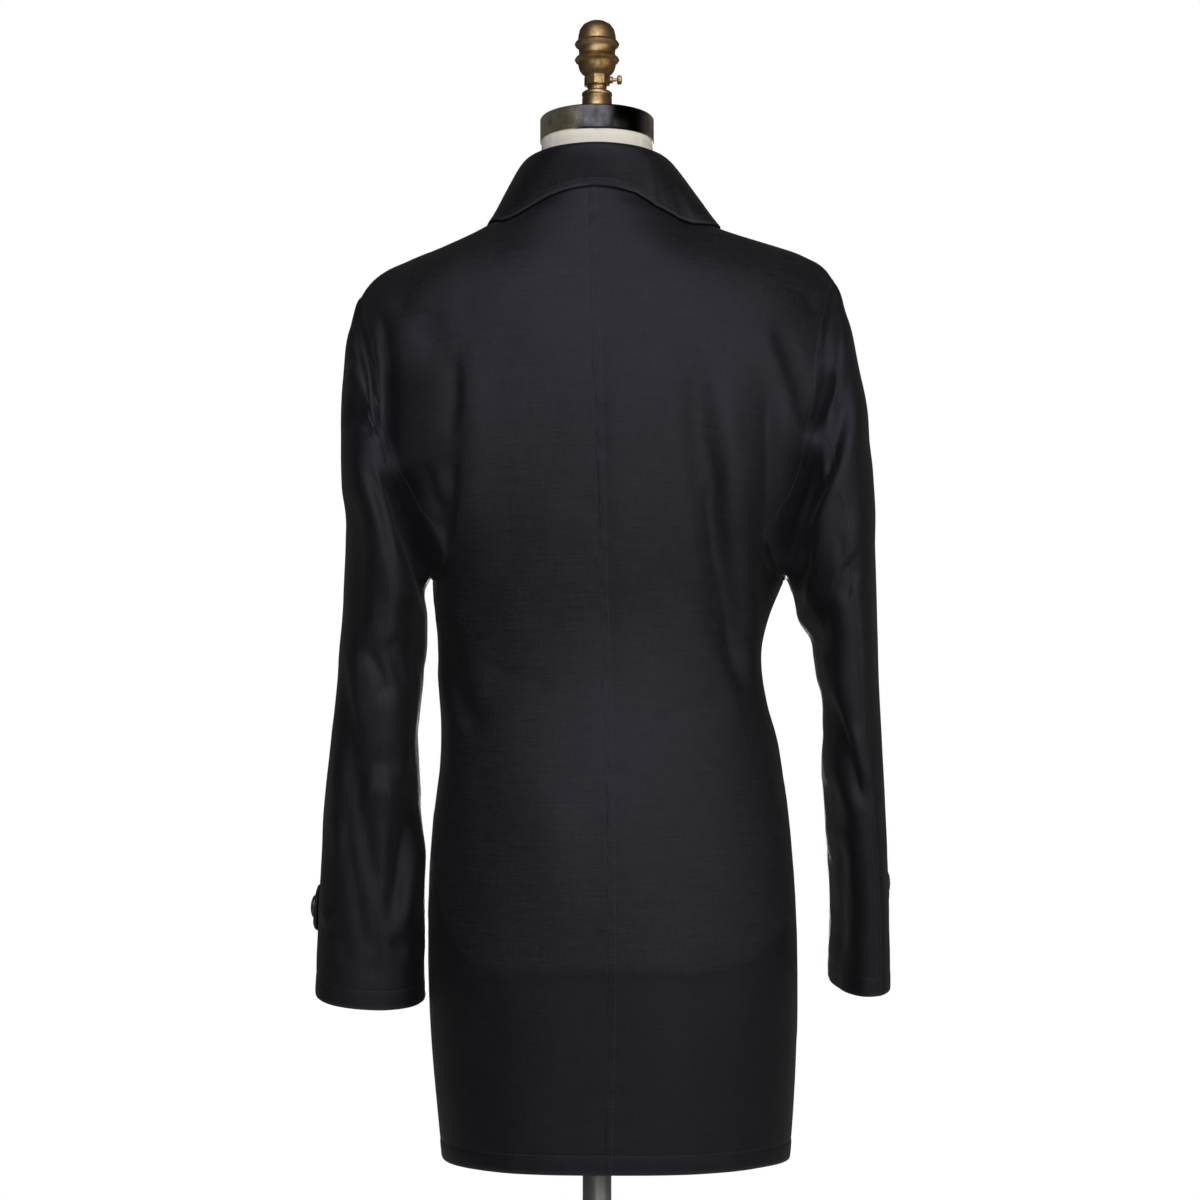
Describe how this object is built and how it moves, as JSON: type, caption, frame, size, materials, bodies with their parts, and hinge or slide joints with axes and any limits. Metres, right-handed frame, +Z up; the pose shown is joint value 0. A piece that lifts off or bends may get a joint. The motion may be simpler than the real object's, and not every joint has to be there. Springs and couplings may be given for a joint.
{
  "type": "wool overcoat on a dress form",
  "caption": "Fitted thigh-length wool overcoat with turn-down collar, two-piece sleeves and cuff tabs, filled out on a limbless linen dress form on a round floor stand",
  "frame": {"origin": "centre of the underside of the stand's round base, on the floor", "axes": "+Z up; the coat's front faces +Y and its back -Y; +X is the wearer's right"},
  "size_m": [0.5089, 0.36, 1.5755],
  "materials": {
    "wool": "fine dark navy wool with a soft satin sheen and a faint crosswise slub",
    "linen": "plain cream linen, matt",
    "brass": "aged brass, softly worn",
    "chrome": "polished chrome band",
    "steel": "plain satin grey steel",
    "horn": "dark brown horn, softly polished"
  },
  "bodies": {
    "root": {"back_left": "wool", "back_right": "wool", "base": "steel", "collar": "wool", "cuff_button_left": "horn", "cuff_button_right": "horn", "cuff_tab_left": "wool", "cuff_tab_right": "wool", "finial": "brass", "form_body": "linen", "front_button_1": "horn", "front_button_2": "horn", "front_button_3": "horn", "front_button_4": "horn", "front_left": "wool", "front_right": "wool", "neck_ring": "chrome", "pole": "steel", "sleeve_top_left": "wool", "sleeve_top_right": "wool", "sleeve_under_left": "wool", "sleeve_under_right": "wool", "thumbscrew": "brass"}
  },
  "joints": []
}
